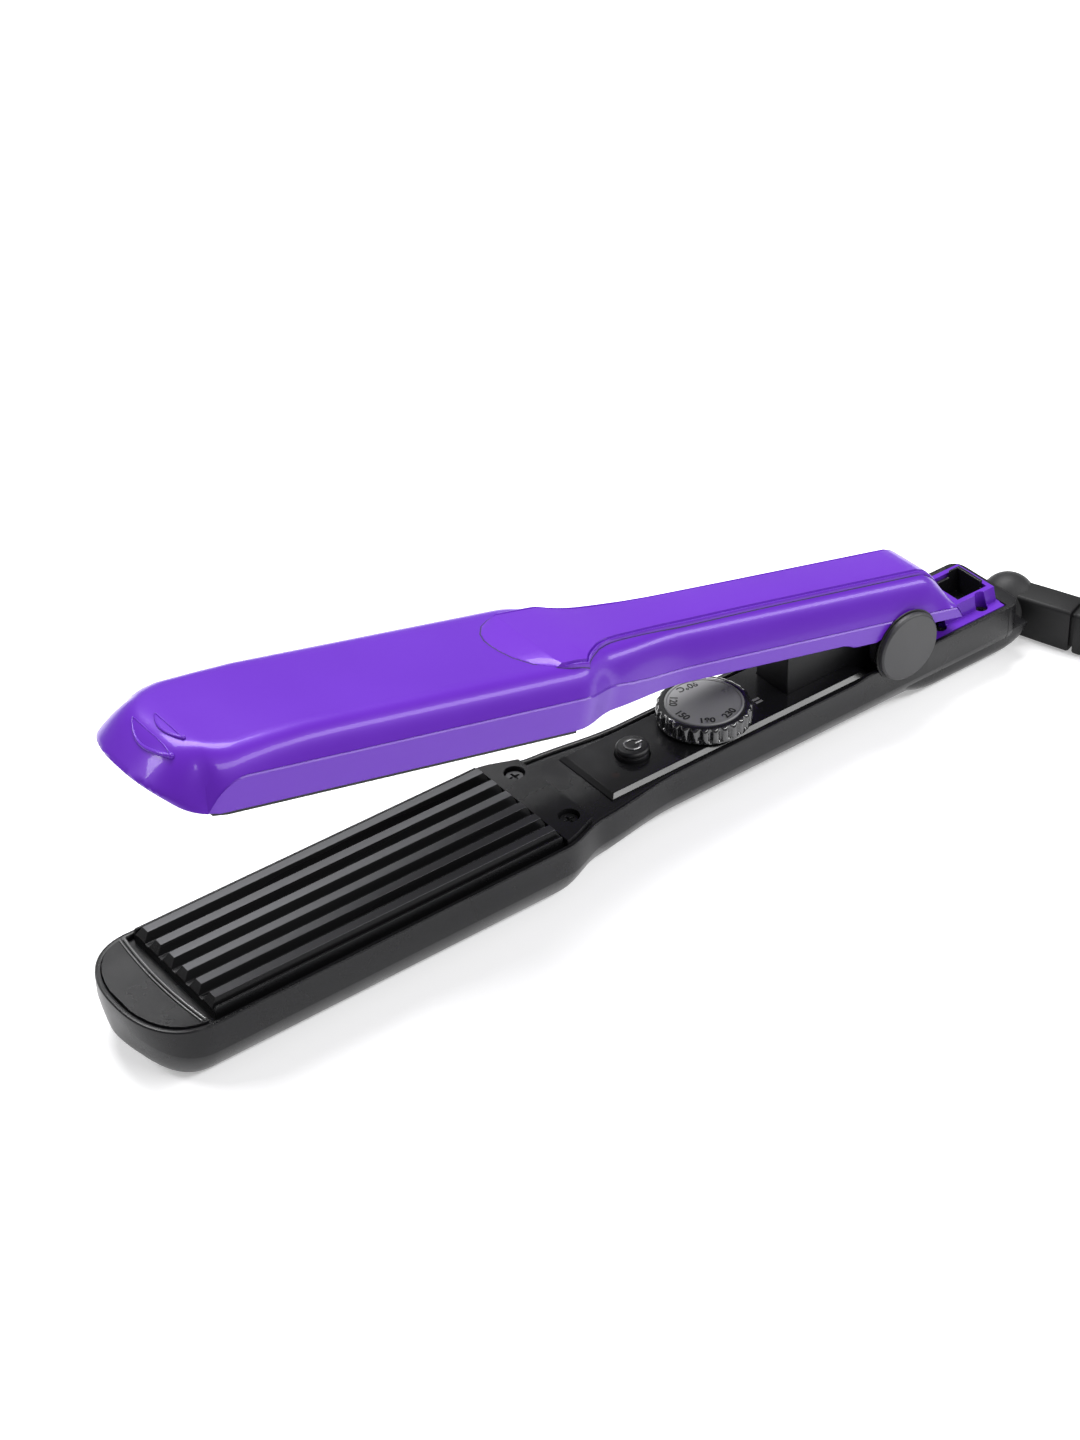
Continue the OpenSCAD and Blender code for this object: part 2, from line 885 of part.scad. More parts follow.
// two turns of spring wire beside the block, with a leg to each arm
module return_spring() {
    color([0.6, 0.6, 0.62])
        translate([hinge_x, 0, hinge_z])
            rotate([90, 0, 0]) {
                for (z = [-7.9, -8.7])
                    translate([0, 0, z])
                        rotate_extrude()
                            translate([4.2, 0])
                                circle(r = 0.5, $fn = 24);
                translate([0, -4.2, -7.9])
                    rotate([0, -90, 0])
                        cylinder(r = 0.4, h = 5);
            }
}

module cord_coil() {
    color([0.06, 0.06, 0.06])
        translate([coil_x, coil_y, 0])
            rotate_extrude($fn = 96)
                translate([coil_r - 4 * turn_pitch - cord_r, 0])
                    square([4 * turn_pitch + cord_d, coil_h]);
}

module cord_tie() {
    color([0.15, 0.15, 0.15])
        translate([coil_x, coil_y + coil_r - 2 * turn_pitch, 0])
            difference() {
                translate([-2.5, -16.1, 0])
                    cube([5, 32.2, coil_h + 1]);
                translate([-5, -15.2, -1])
                    cube([10, 30.4, coil_h + 1.02]);
            }
}

module plug_body() {
    color([0.06, 0.06, 0.06])
        translate([plug_x, plug_y, plug_z]) {
            translate([-9, 14, -7])
                cube([18, 22, 14]);
            translate([-4.5, 0, -4.5])
                cube([9, 14, 9]);
        }
}

module plug_pins() {
    color([0.8, 0.8, 0.8])
        for (x = [-5, 5])
            translate([plug_x + x, plug_y + 36, plug_z])
                rotate([-90, 0, 0])
                    cylinder(r = 2, h = 19);
}

lower_shell();
lower_tray();
lower_plate();
lower_heater();
lower_carrier();
deck_screws();
handle_panel();
led_lens();
circuit_board();
tact_switch();
dial_pot();
hinge_block();
hinge_pin();
hinge_caps();
return_spring();
rear_cover();
pocket_insert();
cover_screws();
swivel_collar();
upper_shell();
spine_panel();
upper_plate();
upper_heater();
upper_carrier();
upper_tray();
upper_liner();
power_button();
button_mark();
dial_knob();
dial_face();
dial_marks();
swivel_body();
cord_boot();
cord_tube();
cord_tail();
cord_coil();
cord_tie();
plug_body();
plug_pins();
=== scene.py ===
"""Hair crimper lying open on a pale surface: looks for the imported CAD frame, in metres."""
import json
import math

import bmesh
import bpy
import numpy as np
from mathutils import Matrix, Vector

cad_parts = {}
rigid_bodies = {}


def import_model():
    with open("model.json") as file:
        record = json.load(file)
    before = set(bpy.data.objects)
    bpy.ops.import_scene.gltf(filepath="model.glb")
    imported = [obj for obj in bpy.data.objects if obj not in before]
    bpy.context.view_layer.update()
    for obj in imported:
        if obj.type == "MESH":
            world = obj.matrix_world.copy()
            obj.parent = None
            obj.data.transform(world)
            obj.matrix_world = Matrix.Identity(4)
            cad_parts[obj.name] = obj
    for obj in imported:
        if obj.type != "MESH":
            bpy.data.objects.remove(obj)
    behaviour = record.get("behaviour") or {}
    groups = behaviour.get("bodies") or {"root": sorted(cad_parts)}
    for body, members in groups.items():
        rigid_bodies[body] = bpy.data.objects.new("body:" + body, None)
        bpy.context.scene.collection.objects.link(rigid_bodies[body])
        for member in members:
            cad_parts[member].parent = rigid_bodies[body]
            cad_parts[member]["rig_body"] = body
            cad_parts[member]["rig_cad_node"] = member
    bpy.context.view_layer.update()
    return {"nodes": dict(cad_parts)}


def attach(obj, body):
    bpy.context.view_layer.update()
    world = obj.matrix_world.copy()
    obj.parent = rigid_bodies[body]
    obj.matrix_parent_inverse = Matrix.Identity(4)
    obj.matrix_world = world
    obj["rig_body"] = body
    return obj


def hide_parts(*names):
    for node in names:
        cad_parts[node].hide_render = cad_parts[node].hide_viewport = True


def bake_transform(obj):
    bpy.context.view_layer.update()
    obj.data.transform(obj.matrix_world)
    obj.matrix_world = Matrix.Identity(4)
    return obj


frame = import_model()
nodes = frame["nodes"]
MM = 0.001

# ---------------------------------------------------------------- camera

EYE = Vector((-0.3867, -0.4970, 0.4932))
TARGET = Vector((-0.0240, 0.0, 0.0421))
ROLL_DEG = -1.817
LENS = 102.41


def add_camera():
    forward = (TARGET - EYE).normalized()
    right = forward.cross(Vector((0, 0, 1))).normalized()
    up = right.cross(forward)
    roll = math.radians(ROLL_DEG)
    cam_x = right * math.cos(roll) + up * math.sin(roll)
    cam_y = up * math.cos(roll) - right * math.sin(roll)
    data = bpy.data.cameras.new("camera")
    data.sensor_fit = "HORIZONTAL"
    data.sensor_width = 36
    data.lens = LENS
    data.clip_start = 0.02
    cam = bpy.data.objects.new("camera", data)
    turn = Matrix((cam_x, cam_y, -forward)).transposed().to_4x4()
    cam.matrix_world = Matrix.Translation(EYE) @ turn
    bpy.context.scene.collection.objects.link(cam)
    bpy.context.scene.camera = cam


add_camera()

# ---------------------------------------------------------------- materials


def material(name, color, rough, metallic=0.0, specular=0.5, coat=0.0, coat_rough=0.08,
             grain=2500.0, bump=0.1, mottle=60.0, vary=0.06, rough_vary=0.06, stretch=(1, 1, 1),
             transmission=0.0):
    """Moulded or metal surface with fine grain in its bump and slow variation in colour and roughness."""
    mat = bpy.data.materials.new(name)
    mat.use_nodes = True
    tree = mat.node_tree
    shader = tree.nodes["Principled BSDF"]
    shader.inputs["Metallic"].default_value = metallic
    shader.inputs["Specular IOR Level"].default_value = specular
    shader.inputs["Coat Weight"].default_value = coat
    shader.inputs["Coat Roughness"].default_value = coat_rough
    shader.inputs["Transmission Weight"].default_value = transmission
    coords = tree.nodes.new("ShaderNodeTexCoord")
    mapping = tree.nodes.new("ShaderNodeMapping")
    mapping.inputs["Scale"].default_value = stretch
    tree.links.new(coords.outputs["Object"], mapping.inputs["Vector"])
    slow = tree.nodes.new("ShaderNodeTexNoise")
    slow.inputs["Scale"].default_value = mottle
    slow.inputs["Detail"].default_value = 4
    tree.links.new(mapping.outputs["Vector"], slow.inputs["Vector"])
    fine = tree.nodes.new("ShaderNodeTexNoise")
    fine.inputs["Scale"].default_value = grain
    fine.inputs["Detail"].default_value = 2
    tree.links.new(mapping.outputs["Vector"], fine.inputs["Vector"])
    tint = tree.nodes.new("ShaderNodeValToRGB")
    low = [c * (1 - vary) for c in color]
    high = [min(1, c * (1 + vary)) for c in color]
    tint.color_ramp.interpolation = "EASE"
    tint.color_ramp.elements[0].position = 0.2
    tint.color_ramp.elements[0].color = (*low, 1)
    tint.color_ramp.elements[1].position = 0.8
    tint.color_ramp.elements[1].color = (*high, 1)
    tree.links.new(slow.outputs["Fac"], tint.inputs["Fac"])
    tree.links.new(tint.outputs["Color"], shader.inputs["Base Color"])
    spread = tree.nodes.new("ShaderNodeMapRange")
    spread.interpolation_type = "SMOOTHSTEP"
    spread.inputs["From Min"].default_value = 0.2
    spread.inputs["From Max"].default_value = 0.8
    spread.inputs["To Min"].default_value = max(0.02, rough - rough_vary)
    spread.inputs["To Max"].default_value = rough + rough_vary
    tree.links.new(slow.outputs["Fac"], spread.inputs["Value"])
    tree.links.new(spread.outputs["Result"], shader.inputs["Roughness"])
    if bump:
        relief = tree.nodes.new("ShaderNodeBump")
        relief.inputs["Strength"].default_value = bump
        relief.inputs["Distance"].default_value = 0.0001
        tree.links.new(fine.outputs["Fac"], relief.inputs["Height"])
        tree.links.new(relief.outputs["Normal"], shader.inputs["Normal"])
    return mat


VIOLET = material("violet_lacquer", (0.084, 0.0125, 0.33), 0.33, specular=0.45, coat=0.2, coat_rough=0.05,
                  grain=900, bump=0.03, mottle=25, vary=0.03, rough_vary=0.03)
SPINE = material("spine_lacquer", (0.094, 0.0145, 0.35), 0.33, specular=0.45, coat=0.2, coat_rough=0.05,
                 grain=900, bump=0.03, mottle=25, vary=0.03, rough_vary=0.03)
for lacquer in (VIOLET, SPINE):
    lacquer.node_tree.nodes["Principled BSDF"].inputs["Specular Tint"].default_value = (0.6, 0.36, 1, 1)
# painted shade: a dark sheet laid just above the shell round the spine panel, its rim showing as the shadow
# in the seam
SEAM_SHADE = material("seam_shadow", (0.02, 0.008, 0.06), 0.6, grain=2000, bump=0.05)
BLACK = material("satin_black", (0.008, 0.008, 0.009), 0.4, specular=0.25, grain=3500, bump=0.25)
DECK = material("deck_black", (0.008, 0.008, 0.009), 0.28, specular=0.26, grain=3500, bump=0.25)
GLOSS = material("panel_gloss", (0.008, 0.008, 0.009), 0.2, specular=0.35, grain=1500, bump=0.04)
# partly painted highlight: the beads' light grey base stands in for the bright lines along the plates' lips;
# also the power button mark's colour
BEAD_HIGHLIGHT_AND_MARK = material("gloss_bead_highlight_and_mark", (0.09, 0.09, 0.092), 0.2, specular=0.9, coat=1.0, grain=900, bump=0.02)
# painted sheen: a lighter grey copy of the plate coating, given to the ridges' top faces for the softbox's
# reflection on them
RIDGE_SHEEN = material("ridge_tops_sheen", (0.055, 0.055, 0.06), 0.36, metallic=0.4, specular=0.45, grain=1400,
                 bump=0.14, stretch=(0.12, 1, 1), vary=0.14)
PLATE = material("plate_coating", (0.012, 0.012, 0.013), 0.3, metallic=0.6, specular=0.5, grain=1400,
                 bump=0.1, stretch=(0.12, 1, 1), vary=0.12)
GREY = material("cap_grey", (0.028, 0.028, 0.03), 0.48, specular=0.4, grain=3000, bump=0.3)
REAR_GREY = material("swivel_grey", (0.012, 0.012, 0.013), 0.5, specular=0.28, grain=3000, bump=0.3)
SILVER = material("dial_silver", (0.22, 0.22, 0.225), 0.4, specular=0.45, grain=2800, bump=0.12)
SMOKE = material("dial_smoke", (0.02, 0.02, 0.022), 0.12, specular=0.6, coat=0.5, grain=700, bump=0.02,
                 transmission=0.25)
# print colour of the dial figures, and painted shade for the thin rings behind the hinge caps
MARK_AND_GAP_SHADE = material("mark_and_gap_shade_black", (0.006, 0.006, 0.006), 0.6, grain=2000, bump=0.05)
PALE = material("mark_grey", (0.2, 0.2, 0.2), 0.5, grain=2000, bump=0.05)
STEEL = material("steel", (0.55, 0.55, 0.57), 0.3, metallic=1.0, grain=1800, bump=0.1, stretch=(0.2, 1, 1))
SCREW = material("screw_dark", (0.03, 0.03, 0.032), 0.4, metallic=0.7, grain=2500, bump=0.15)
RUBBER = material("boot_rubber", (0.006, 0.006, 0.0065), 0.5, specular=0.22, grain=2600, bump=0.4)
CABLE = material("cable_jacket", (0.012, 0.012, 0.013), 0.5, specular=0.4, grain=2200, bump=0.3)
RESIN = material("carrier_resin", (0.6, 0.55, 0.44), 0.55, grain=2500, bump=0.2)
BOARD = material("board_green", (0.015, 0.1, 0.04), 0.35, grain=1500, bump=0.1)
HEATER = material("heater_metal", (0.6, 0.6, 0.62), 0.35, metallic=0.9, grain=1500, bump=0.1,
                  stretch=(0.15, 1, 1))
PART = material("part_grey", (0.2, 0.2, 0.19), 0.5, grain=2500, bump=0.2)
LENS_DARK = material("lens_dark", (0.012, 0.004, 0.004), 0.15, specular=0.6, grain=800, bump=0.02)
BRASS = material("pin_plating", (0.7, 0.69, 0.66), 0.2, metallic=1.0, grain=1800, bump=0.05)
FLOOR = material("floor_white", (0.82, 0.82, 0.83), 0.6, specular=0.2, grain=400, bump=0.02, mottle=6,
                 vary=0.01, rough_vary=0.03)
FLOOR.node_tree.nodes["Principled BSDF"].inputs["Emission Color"].default_value = (1, 1, 1, 1)
FLOOR.node_tree.nodes["Principled BSDF"].inputs["Emission Strength"].default_value = 0.35

# ---------------------------------------------------------------- mesh helpers


def add_mesh(name, points, faces, mat, sharp_deg=30):
    """Object from points in millimetres, with creases kept sharp above an angle."""
    mesh = bpy.data.meshes.new(name)
    mesh.from_pydata([[c * MM for c in p] for p in points], [], faces)
    mesh.validate()
    obj = bpy.data.objects.new(name, mesh)
    bpy.context.scene.collection.objects.link(obj)
    finish_mesh(obj, mat, sharp_deg)
    return obj


def finish_mesh(obj, mat, sharp_deg=30):
    """Welds, turns the normals outwards, shades smooth up to the angle and sets the material."""
    bm = bmesh.new()
    bm.from_mesh(obj.data)
    bmesh.ops.remove_doubles(bm, verts=bm.verts, dist=1e-6)
    bmesh.ops.recalc_face_normals(bm, faces=bm.faces)
    bm.to_mesh(obj.data)
    bm.free()
    obj.data.polygons.foreach_set("use_smooth", [True] * len(obj.data.polygons))
    obj.data.set_sharp_from_angle(angle=math.radians(sharp_deg))
    obj.data.materials.clear()
    obj.data.materials.append(mat)


def apply_modifier(obj, kind, **settings):
    mod = obj.modifiers.new(kind.lower(), kind)
    for key, value in settings.items():
        setattr(mod, key, value)
    graph = bpy.context.evaluated_depsgraph_get()
    mesh = bpy.data.meshes.new_from_object(obj.evaluated_get(graph))
    obj.modifiers.clear()
    obj.data = mesh


def cut(obj, *cutters):
    """Takes the cutters' shapes out of obj and removes them."""
    for cutter in cutters:
        apply_modifier(obj, "BOOLEAN", operation="DIFFERENCE", object=cutter, solver="EXACT")
        bpy.data.objects.remove(cutter)


def combine(obj, other):
    """Puts the other object's mesh into obj and removes it."""
    bm = bmesh.new()
    bm.from_mesh(obj.data)
    bm.from_mesh(other.data)
    bm.to_mesh(obj.data)
    bm.free()
    bpy.data.objects.remove(other)


def rings_mesh(name, rings, mat, sharp_deg=30, caps="face"):
    """Closed skin through rings of points in millimetres, its ends one face or a strip from side to side."""
    n = len(rings[0])
    points = [p for ring in rings for p in ring]
    faces = []
    for i in range(len(rings) - 1):
        for j in range(n):
            k = (j + 1) % n
            faces.append((i * n + j, i * n + k, (i + 1) * n + k, (i + 1) * n + j))
    for start in (0, (len(rings) - 1) * n):
        if caps == "strip":
            last = start + n - 1
            faces += [(start + j, start + j + 1, last - 1 - j, last - j) for j in range(n // 2 - 1)]
        else:
            faces.append(tuple(range(start, start + n)))
    return add_mesh(name, points, faces, mat, sharp_deg)


def rod(name, centre, axis, radius, half, mat, sides=64):
    """Round bar about a centre, along one axis, in millimetres."""
    rings = []
    for t in (-half, half):
        ring = []
        for i in range(sides):
            a = 2 * math.pi * i / sides
            u, v = radius * math.cos(a), radius * math.sin(a)
            p = {"x": (t, u, v), "y": (v, t, u), "z": (u, v, t)}[axis]
            ring.append([centre[k] + p[k] for k in range(3)])
        rings.append(ring)
    return rings_mesh(name, rings, mat)


def lathe(name, profile, mat, centre=(0, 0, 0), steps=96, sharp_deg=30):
    """Solid of revolution about Z from (radius, height) points in millimetres."""
    rings = []
    for r, z in profile:
        rings.append([[centre[0] + max(r, 0.001) * math.cos(2 * math.pi * i / steps),
                       centre[1] + max(r, 0.001) * math.sin(2 * math.pi * i / steps),
                       centre[2] + z] for i in range(steps)])
    return rings_mesh(name, rings, mat, sharp_deg)


def box_mesh(name, low, high, mat):
    xs, ys, zs = zip(low, high)
    points = [(x, y, z) for x in xs for y in ys for z in zs]
    faces = [(0, 1, 3, 2), (4, 6, 7, 5), (0, 4, 5, 1), (2, 3, 7, 6), (0, 2, 6, 4), (1, 5, 7, 3)]
    return add_mesh(name, points, faces, mat)


def softened(node, mat, width, segments=2, angle_deg=35, sharp_deg=35):
    """The CAD node again with its edges rounded, in place of the node."""
    obj = nodes[node].copy()
    obj.data = nodes[node].data.copy()
    obj.parent = None
    obj.name = node + "_soft"
    bpy.context.scene.collection.objects.link(obj)
    bm = bmesh.new()
    bm.from_mesh(obj.data)
    bmesh.ops.remove_doubles(bm, verts=bm.verts, dist=2e-6)
    bmesh.ops.dissolve_limit(bm, angle_limit=math.radians(1), verts=bm.verts, edges=bm.edges)
    bm.to_mesh(obj.data)
    bm.free()
    obj.data.materials.clear()
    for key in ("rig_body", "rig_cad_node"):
        if key in obj:
            del obj[key]
    apply_modifier(obj, "BEVEL", width=width * MM, segments=segments, limit_method="ANGLE",
                   angle_limit=math.radians(angle_deg), use_clamp_overlap=True, harden_normals=False)
    finish_mesh(obj, mat, sharp_deg)
    apply_modifier(obj, "WEIGHTED_NORMAL", keep_sharp=True)
    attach(obj, nodes[node]["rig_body"])
    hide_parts(node)
    return obj


def paint(node, mat):
    """Gives a CAD node that stays its material."""
    nodes[node].data.materials.clear()
    nodes[node].data.materials.append(mat)


def smooth_step(a, b, x):
    t = np.clip((np.asarray(x, float) - a) / (b - a), 0, 1)
    return t * t * (3 - 2 * t)

# ---------------------------------------------------------------- cord

CORD_D = 6.0
CORD_R = CORD_D / 2
COIL = (208.0, -40.0)
COIL_R = 45.5
LAYER_TURNS = 4
PITCH = CORD_D + 0.05
SWIVEL = (139.4, 0.0, 8.2)
BOOT_Z = 7.0
BOOT_DEG = 70.5
BOOT_END = 48.0
ENTRY_DEG = 222.3
EXIT_DEG = 270.0
CLIMB = 0.35
LEAD_POINTS = [
    (155.6, -45.7, 7), (156.9, -49.4, 7), (158.4, -53, 6.6), (160.6, -56.5, 5.9), (163.2, -59.8, 5),
    (166.1, -63, 4.2), (169.1, -65.9, 3.5), (172, -68.5, 3.2),
]
TAIL_POINTS = [
    (212, -85.4, 9.2), (216, -85.4, 9.8), (222.7, -84.5, 11.2), (229, -81.9, 13),
    (234.4, -77.8, 15), (238.5, -72.4, 17), (241.1, -66.1, 18.6), (242, -59.4, 19.1),
]
# how far the upper layer has stepped outwards within one turn, counted from the end of the climb
STEP_AT = (0.2, 0.35, 0.8, 0.9, 1.0, 1.2)
STEP_OUT = (0.0, 0.02, 0.69, 0.82, 0.92, 1.0)


def coil_path():
    """Flat spiral inwards on the table, a climb at its inner turn, and a spiral out again on top of it."""
    points = []
    per_turn = 48
    total = 2 * LAYER_TURNS + (EXIT_DEG - ENTRY_DEG) / 360
    inner = COIL_R - PITCH * LAYER_TURNS
    steps = int(total * per_turn)
    for i in range(steps + 1):
        turn = total * i / steps
        past = turn - LAYER_TURNS
        a = math.radians(ENTRY_DEG + 360 * turn)
        if past < 0.2:
            r = max(inner, COIL_R - PITCH * turn)
        else:
            whole = math.floor(past - 0.2)
            r = inner + PITCH * (whole + float(np.interp(past - whole, STEP_AT, STEP_OUT)))
        z = CORD_R + PITCH * float(smooth_step(-CLIMB, CLIMB, past))
        points.append((COIL[0] + r * math.cos(a), COIL[1] + r * math.sin(a), z))
    return points


def resample(points, step):
    """The same line as points an even step apart, rounded through a smooth curve."""
    p = np.array(points, float)
    gaps = np.linalg.norm(np.diff(p, axis=0), axis=1)
    s = np.concatenate([[0], np.cumsum(gaps)])
    n = max(8, int(s[-1] / step))
    t = np.linspace(0, s[-1], n)
    out = np.stack([np.interp(t, s, p[:, k]) for k in range(3)], axis=1)
    for _ in range(6):
        out[1:-1] = 0.25 * out[:-2] + 0.5 * out[1:-1] + 0.25 * out[2:]
    return out


def tube_rings(path, radius, sides):
    """Rings round a line, carried along it without twist."""
    rings = []
    side = np.array((0.0, 0.0, 1.0))
    for i in range(len(path)):
        ahead = path[min(i + 1, len(path) - 1)] - path[max(i - 1, 0)]
        ahead = ahead / np.linalg.norm(ahead)
        side = side - ahead * side.dot(ahead)
        side = side / np.linalg.norm(side)
        other = np.cross(ahead, side)
        rings.append([path[i] + radius * (math.cos(a) * side + math.sin(a) * other)
                      for a in np.linspace(0, 2 * math.pi, sides, endpoint=False)])
    return rings


def tapered(path, radii, sides):
    """Rings round a line with a radius for each of its points."""
    path = np.array(path, float)
    unit = tube_rings(path, 1.0, sides)
    return [[path[i] + radii[i] * (np.array(p) - path[i]) for p in unit[i]] for i in range(len(path))]


cord_path = resample(LEAD_POINTS + coil_path() + TAIL_POINTS, 2.5)
cord = rings_mesh("mains_cord", tube_rings(cord_path, CORD_R, 14), CABLE, sharp_deg=60)
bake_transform(cord)
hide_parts("cord_tube", "cord_coil", "cord_tail")


def boot_frame(p):
    """From the strain relief's own frame, X along it, to the row frame."""
    a = math.radians(-BOOT_DEG)
    return (SWIVEL[0] + p[0] * math.cos(a) - p[1] * math.sin(a),
            SWIVEL[1] + p[0] * math.sin(a) + p[1] * math.cos(a), BOOT_Z + p[2])


def oblong(x, w, h, r, sides=6):
    """Rounded rectangle across the strain relief at x."""
    ring = []
    for cy, cz, a0 in ((1, 1, 0), (-1, 1, 90), (-1, -1, 180), (1, -1, 270)):
        for i in range(sides + 1):
            a = math.radians(a0 + 90 * i / sides)
            y = cy * (w / 2 - r) + r * math.cos(a)
            z = cz * (h / 2 - r) + r * math.sin(a)
            ring.append(boot_frame((x, y, z)))
    return ring


def boot_rings():
    rings = [oblong(x, w, h, 1.1) for x, w, h in
             ((3.5, 9.0, 12.9), (12.0, 9.3, 13.1), (20.4, 9.4, 13.2), (20.9, 9.0, 12.8), (21.0, 7.0, 10.8))]
    for i in range(6):
        w = 9.4 - i * 0.35
        h = 13.2 - i * 0.8
        x = 22.0 + i * 4.4
        rings += [oblong(x, w - 2.4, h - 2.4, 0.9), oblong(x + 0.2, w - 0.5, h - 0.5, 1.0),
                  oblong(x + 0.6, w, h, 1.1), oblong(x + 2.6, w, h, 1.1),
                  oblong(x + 3.0, w - 0.5, h - 0.5, 1.0), oblong(x + 3.2, w - 2.4, h - 2.4, 0.9)]
    rings += [oblong(BOOT_END - 0.6, 7.2, 7.2, 3.4), oblong(BOOT_END, 6.6, 6.6, 3.2)]
    return rings


boot = rings_mesh("strain_relief", boot_rings(), RUBBER, sharp_deg=40)
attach(boot, "swivel")
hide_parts("cord_boot")


def swivel_dome():
    """Ball joint with a neck ring, turned about the arm's length."""
    profile = [(0.01, 8.0)]
    for i in range(1, 25):
        a = math.radians(90 - i * 5.8)
        profile.append((8.0 * math.cos(a), 8.0 * math.sin(a)))
    profile += [(5.2, -7.6), (4.9, -7.9), (4.9, -20.4), (5.8, -20.5), (5.8, -21.6), (0.01, -21.6)]
    rings = []
    for r, x in profile:
        rings.append([(SWIVEL[0] + x, SWIVEL[1] + r * math.cos(a), SWIVEL[2] + r * math.sin(a))
                      for a in np.linspace(0, 2 * math.pi, 64, endpoint=False)])
    return rings


dome = rings_mesh("swivel_dome", swivel_dome(), REAR_GREY, sharp_deg=50)
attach(dome, "swivel")
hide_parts("swivel_body")


PLUG = (242.0, -60.0, 19.1)


def plug_rings():
    """Moulded plug: ribbed tail, waist and a flat body with rounded edges, along +Y."""
    rings = []
    for y, w, h, r in ((-0.5, 8.6, 8.6, 4.2), (1, 9, 9, 4.3), (2.4, 9, 9, 4.3), (2.6, 7.6, 7.6, 3.7),
                       (3.6, 7.6, 7.6, 3.7), (3.8, 9, 9, 4.3), (5.6, 9, 9, 4.3), (5.8, 7.8, 7.8, 3.8),
                       (6.8, 7.8, 7.8, 3.8), (7, 9, 9, 4.2), (10.5, 9, 9, 3.6), (14, 12.5, 11, 3.4),
                       (17, 16, 13, 3.4), (21, 17.6, 13.8, 3.4), (30, 17.8, 13.9, 3.4),
                       (35.2, 17.4, 13.6, 3.4), (36, 16.4, 12.6, 3.0)):
        ring = []
        for cx, cz, a0 in ((1, 1, 0), (-1, 1, 90), (-1, -1, 180), (1, -1, 270)):
            for i in range(7):
                a = math.radians(a0 + 15 * i)
                ring.append((PLUG[0] + cx * (w / 2 - r) + r * math.cos(a), PLUG[1] + y,
                             PLUG[2] + cz * (h / 2 - r) + r * math.sin(a)))
        rings.append(ring)
    return rings


plug = rings_mesh("plug", plug_rings(), CABLE, sharp_deg=50)
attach(plug, "lower_arm")
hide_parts("plug_body")
pins = softened("plug_pins", BRASS, 0.6, 3)
tie = softened("cord_tie", CABLE, 0.4, 2)

# ---------------------------------------------------------------- arms' shared outline

TIP_X = -150.0
NOSE_L = 16.0
NOSE_POWER = 2.3
PADDLE_HW = 20.9
HANDLE_HW = 13.3
NECK_EXTRA = 3.2
WALL = 1.7
HINGE_X = 87.5
HINGE_Z = 23.0
OPEN_DEG = 13.3
RIM_BEAD = ((1.7, -0.9), (1.62, -0.4), (1.35, -0.08), (0.85, 0.0), (0.35, -0.08), (0.08, -0.4), (0.0, -0.9))


def opened(p, deg=OPEN_DEG):
    """From the closed upper arm to its place at rest, opened by an angle about the hinge pin."""
    a = math.radians(deg)
    x, z = p[0] - HINGE_X, p[2] - HINGE_Z
    return (HINGE_X + x * math.cos(a) + z * math.sin(a), p[1], HINGE_Z - x * math.sin(a) + z * math.cos(a))


def into_nose(x):
    return min(1.0, max(0.0, (TIP_X + NOSE_L - x) / NOSE_L))


def body_width(x):
    """Half width of both arms at x, leaving out the rounding of the tip."""
    neck = NECK_EXTRA * (1 - float(smooth_step(-19.5, 10.5, x)))
    shoulder = (PADDLE_HW - HANDLE_HW - NECK_EXTRA) * (1 - float(smooth_step(-31.5, -16.5, x)))
    return HANDLE_HW + neck + shoulder


def rounding(u):
    return (1 - min(u, 1) ** NOSE_POWER) ** (1 / NOSE_POWER)


def stations(back):
    """X of the rings: dense at the tip, the waist and wherever the caller's list says."""
    nose = [TIP_X + d for d in (0.01, 0.06, 0.16, 0.3, 0.5, 0.8, 1.2, 1.7, 2.3, 3, 3.8, 4.7, 5.7, 6.8,
                                8, 9.2, 10.4, 11.6, 12.8, 14, 15, 16, 17, 18, 19, 20, 21, 22, 23.5, 26)]
    return nose + list(range(-120, -40, 10)) + [-40 + 2 * i for i in range(28)] + list(back)

# ---------------------------------------------------------------- upper arm

PADDLE_RIM = 25.1
PADDLE_SIDE = 34
PADDLE_CROWN = 40.8
NOSE_RIM_LIFT = 2.6
SHOULDER = 7.5
SHOULDER_POWER = 2.3
TUCK = 5.2
TUCK_H = 2.6


def up_heights(x):
    """Rim, top of the side wall, base of the shoulder and crown at x, before the arm is opened."""
    u = into_nose(x)
    g = float(smooth_step(-34, 5, x))
    tail = (max(0.0, x - 92.5) / 15.2) ** 1.9
    lobe = 1.2 * float(smooth_step(64, 69, x)) * (1 - float(smooth_step(76, 79, x)))
    rim = PADDLE_RIM + 1.4 * g + float(smooth_step(94, 98, x)) - lobe + NOSE_RIM_LIFT * u ** 0.8
    droop = 1.6 * (1 - float(smooth_step(-135, -108, x))) + 4.6 * u ** 2
    crown = PADDLE_CROWN - 0.5 * g - droop - 12 * tail
    wall_top = min(PADDLE_SIDE - 3 * g - 3 * u ** 3, crown - 0.4)
    k = math.sqrt(max(0.0, 1 - max(0.0, (-127.5 - x) / 9) ** 2)) if x > -136.5 else 0.0
    base = rim + 0.05 + k * max(0.05, wall_top - rim)
    return rim, base, crown, k


